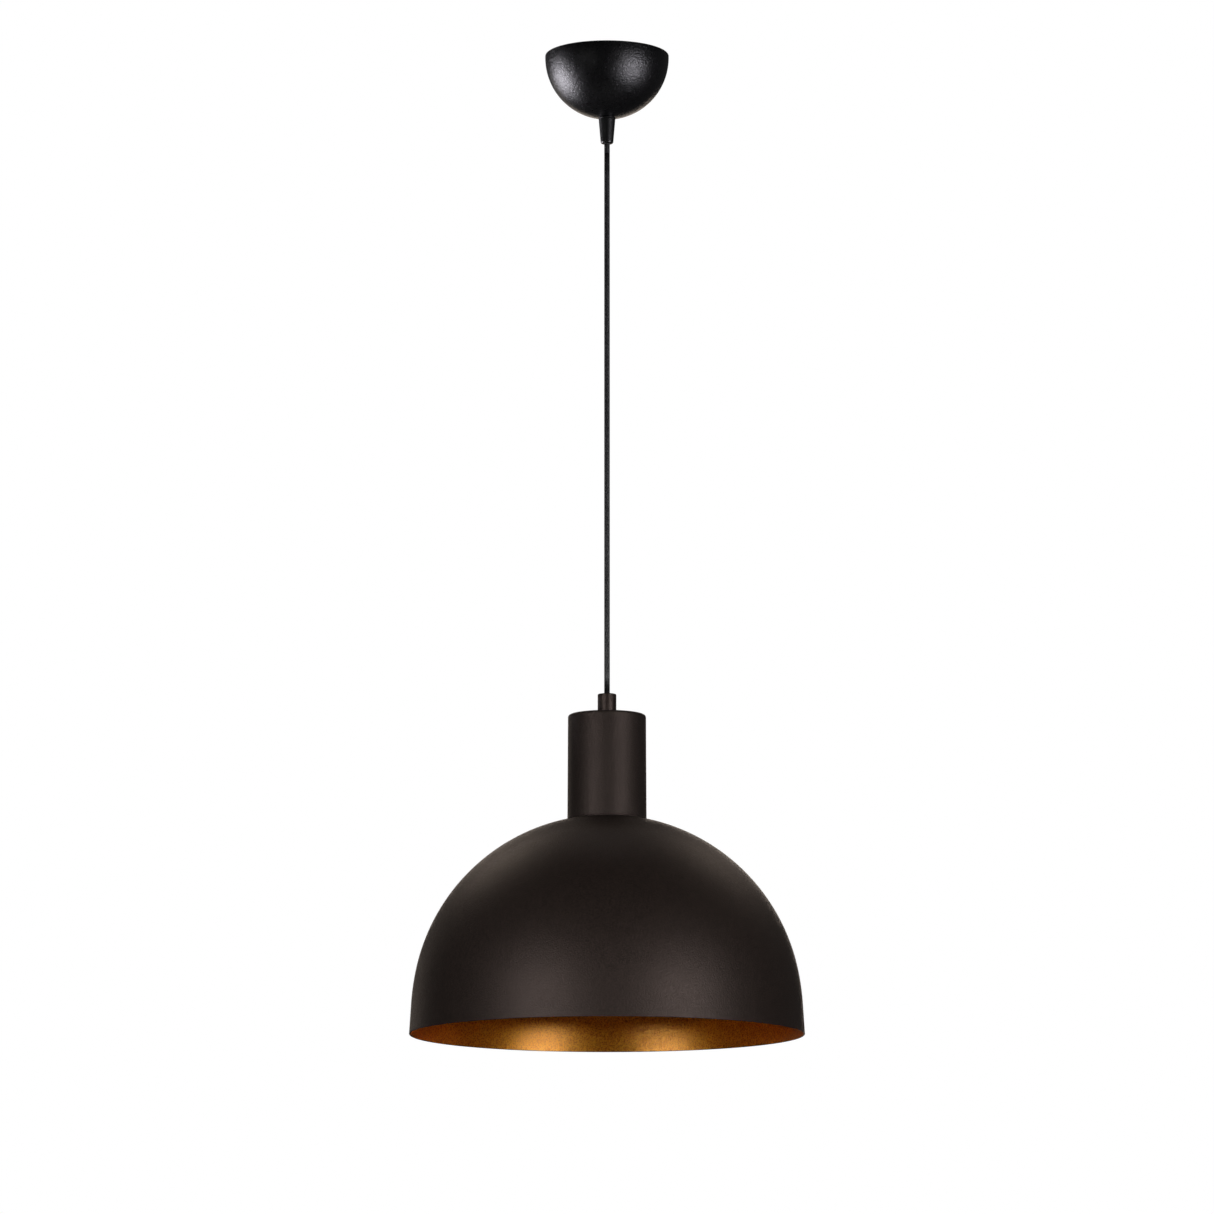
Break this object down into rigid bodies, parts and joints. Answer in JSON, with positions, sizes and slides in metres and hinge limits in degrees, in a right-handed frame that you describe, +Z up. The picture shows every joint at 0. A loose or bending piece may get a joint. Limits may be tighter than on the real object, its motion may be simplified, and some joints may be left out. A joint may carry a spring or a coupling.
{
  "type": "pendant ceiling light",
  "caption": "Pendant light: a round canopy at the ceiling, a straight flex with a cord grip, a cylindrical socket cup and a deep dome shade open at the bottom.",
  "frame": {"origin": "middle of the mounting bracket's top face, which lies on the ceiling", "axes": "+Z up into the ceiling, the lamp hangs along -Z; the bracket's slots are spaced along X; -Y is the front"},
  "size_m": [0.3, 0.3, 0.7628],
  "materials": {
    "shade_paint": "fine textured dark brown powder coat outside, gold metallic paint inside, on pressed steel sheet",
    "bronze_paint": "fine textured dark brown powder coat on steel",
    "black_canopy": "fine satin moulded texture",
    "black_grip": "satin moulded",
    "black_flex": "smooth satin round flex sheath with two copper cores",
    "brown_core": "smooth",
    "blue_core": "smooth",
    "white_nylon": "moulded nylon",
    "black_holder": "moulded heat resistant plastic",
    "zinc_steel": "bright zinc plate",
    "brass": "plain",
    "nickel_brass": "nickel plated",
    "ceramic": "unglazed"
  },
  "bodies": {
    "ceiling": {"mounting_bracket": "zinc_steel", "bracket_hook": "zinc_steel", "flex_suspender": "white_nylon", "suspender_clamp": "white_nylon", "suspender_screws": "zinc_steel", "terminal_block": "white_nylon", "terminal_inserts": "brass", "terminal_screws": "zinc_steel", "terminal_block_screw": "zinc_steel", "ceiling_core_brown": "brown_core", "ceiling_core_blue": "blue_core", "upper_flex": "black_flex"},
    "canopy": {"canopy_shell": "black_canopy", "grip_stem": "black_grip", "grip_lock_washer": "zinc_steel", "grip_lock_nut": "zinc_steel", "grip_collet": "white_nylon"},
    "grip_nut": {"grip_nut": "black_grip"},
    "flex_bend_fore_aft": {"flex_bend_upper": "black_flex"},
    "flex_bend_side": {"flex_bend_lower": "black_flex"},
    "flex": {"hanging_flex": "black_flex"},
    "lamp": {"flex_sleeve": "bronze_paint", "sleeve_screw": "zinc_steel", "lower_flex": "black_flex", "hollow_nipple": "zinc_steel", "socket_cup": "bronze_paint", "cup_washer": "zinc_steel", "cup_nut": "zinc_steel", "lampholder_cap": "black_holder", "lampholder_core": "ceramic", "lampholder_terminals": "brass", "lampholder_terminal_screws": "zinc_steel", "lampholder_skirt": "black_holder", "screw_shell": "nickel_brass", "centre_contact": "brass", "side_contact": "brass", "lamp_core_brown": "brown_core", "lamp_core_blue": "blue_core", "upper_shade_ring": "black_holder", "lower_shade_ring": "black_holder", "dome_shade": "shade_paint"}
  },
  "joints": [
    {"name": "canopy_slide", "type": "slide", "parent": "ceiling", "child": "canopy", "axis": [0, 0, 1], "range_m": [-0.1, 0], "deforming": ["upper_flex"]},
    {"name": "grip_nut_turn", "type": "hinge", "parent": "canopy", "child": "grip_nut", "pos_m": [0, 0, -0.06], "axis": [0, 0, 1], "range_deg": [0, 360]},
    {"name": "swing_fore_aft", "type": "hinge", "parent": "canopy", "child": "flex_bend_fore_aft", "pos_m": [0, 0, -0.072], "axis": [1, 0, 0], "range_deg": [-20, 20], "deforming": ["flex_bend_upper"]},
    {"name": "swing_side", "type": "hinge", "parent": "flex_bend_fore_aft", "child": "flex_bend_side", "pos_m": [0, 0, -0.076], "axis": [0, 1, 0], "range_deg": [-20, 20], "deforming": ["flex_bend_lower"]},
    {"name": "flex_feed", "type": "slide", "parent": "flex_bend_side", "child": "flex", "axis": [0, 0, 1], "range_m": [0, 0.1], "deforming": ["hanging_flex"]},
    {"name": "lamp_twist", "type": "hinge", "parent": "flex", "child": "lamp", "pos_m": [0, 0, -0.504], "axis": [0, 0, 1], "range_deg": [-90, 90]}
  ],
  "couplings": [
    {"joint": "flex_feed", "follows": "canopy_slide", "ratio": -1}
  ]
}
